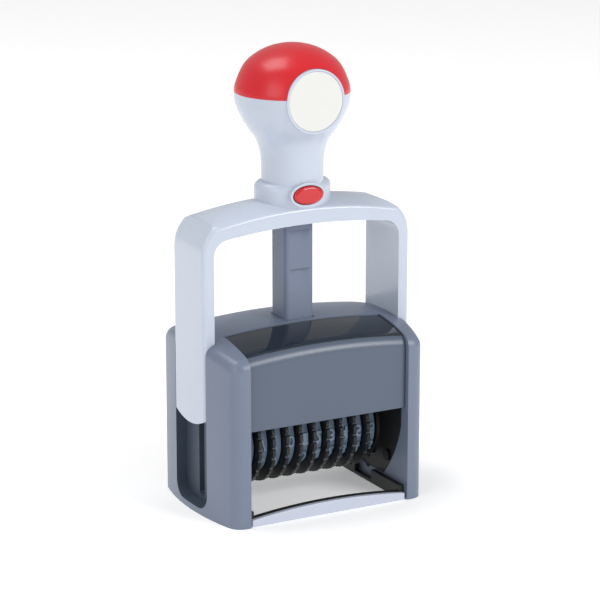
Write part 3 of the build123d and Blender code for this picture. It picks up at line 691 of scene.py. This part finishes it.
@dataclass
class InkPad:
    """Slide-out tray with its felt."""

    frame: dict
    edge_mm: float = 0.2

    def build(self) -> None:
        """Dress tray and felt."""
        part = Part(self.frame)
        part.rounded("pad_tray", BLACK_NYLON, self.edge_mm)
        part.dress("ink_pad", INK_FELT)


# ---------------------------------------------------------------- studio
@dataclass
class Studio:
    """Pale floor, soft lights and the camera."""

    distance: float = 0.854
    azimuth_deg: float = 28.17
    elevation_deg: float = 14.33
    aim_height: float = 0.078
    turn_deg: float = 0.18  # puts the post a little left of the middle
    dip_deg: float = 14.97
    lens_mm: float = 151.68
    floor_size: float = 6.0
    light_height: float = 0.07  # the lights face this height
    ambient: float = 0.5
    backdrop: float = 1.0

    def build(self) -> None:
        """Make camera, floor, world and lights."""
        self._camera()
        self._floor()
        self._world()
        self._light("key", (0.8, -1.3, 0.9), 0.7, 14.0)
        self._light("fill", (-1.5, -0.7, 0.7), 0.9, 5.0)
        self._light("top", (-0.5, 0.4, 1.6), 0.9, 10.5)

    def _camera(self) -> None:
        """A long lens from the front left, looking down at the machine."""
        data = bpy.data.cameras.new("camera")
        data.lens = self.lens_mm
        data.sensor_width = 36.0
        data.clip_start = 0.01
        camera = bpy.data.objects.new("camera", data)
        heading, rise = math.radians(self.azimuth_deg), math.radians(self.elevation_deg)
        level = self.distance * math.cos(rise)
        camera.location = (
            -level * math.sin(heading),
            -level * math.cos(heading),
            self.aim_height + self.distance * math.sin(rise),
        )
        heading += math.radians(self.turn_deg)
        camera.rotation_euler = (math.pi / 2 - math.radians(self.dip_deg), 0.0, -heading)
        bpy.context.scene.collection.objects.link(camera)
        bpy.context.scene.camera = camera

    def _floor(self) -> None:
        """A plain pale floor under the machine."""
        work = bmesh.new()
        bmesh.ops.create_grid(work, x_segments=1, y_segments=1, size=self.floor_size / 2)
        mesh = bpy.data.meshes.new("studio_floor")
        work.to_mesh(mesh)
        work.free()
        floor = bpy.data.objects.new("studio_floor", mesh)
        bpy.context.scene.collection.objects.link(floor)
        # white paper on a light table: matt, with a faint glow of its own
        paper = Moulding("studio_paper", "fafafa", "f8f8f8", 0.9, 0.02, grain=0.0, glow=0.22)
        set_finish(floor, paper)

    def _world(self) -> None:
        """White backdrop that lights the machine less than it shows."""
        world = bpy.data.worlds.new("studio_world")
        world.use_nodes = True
        tree = world.node_tree
        tree.nodes.clear()
        white = (1, 1, 1, 1)
        sky = add_node(tree, "ShaderNodeBackground", {"Color": white, "Strength": self.ambient})
        drop = add_node(tree, "ShaderNodeBackground", {"Color": white, "Strength": self.backdrop})
        seen = add_node(tree, "ShaderNodeLightPath").outputs["Is Camera Ray"]
        both = add_node(
            tree,
            "ShaderNodeMixShader",
            {0: seen, 1: sky.outputs["Background"], 2: drop.outputs["Background"]},
        )
        add_node(tree, "ShaderNodeOutputWorld", {"Surface": both.outputs["Shader"]})
        bpy.context.scene.world = world
        bpy.context.scene.view_settings.view_transform = "Standard"

    def _light(
        self, name: str, place: tuple[float, float, float], size: float, watts: float
    ) -> None:
        """One square soft box that faces the middle of the machine.

        Args:
            name: name of the light.
            place: where it hangs, in metres.
            size: length of its sides, in metres.
            watts: its power.
        """
        data = bpy.data.lights.new(name, "AREA")
        data.shape = "SQUARE"
        data.size = size
        data.energy = watts
        light = bpy.data.objects.new(name, data)
        light.location = place
        aim = Vector((0.0, 0.0, self.light_height)) - Vector(place)
        light.rotation_euler = aim.to_track_quat("-Z", "Y").to_euler()
        bpy.context.scene.collection.objects.link(light)


def main() -> None:
    """Load the solids, dress them, and set up the studio."""
    logging.basicConfig(level=logging.INFO, format="%(name)s: %(message)s")
    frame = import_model()
    Studio().build()
    for assembly in (Casing(frame), Handle(frame), PrintUnit(frame), InkPad(frame)):
        assembly.build()


if __name__ == "__main__":
    main()
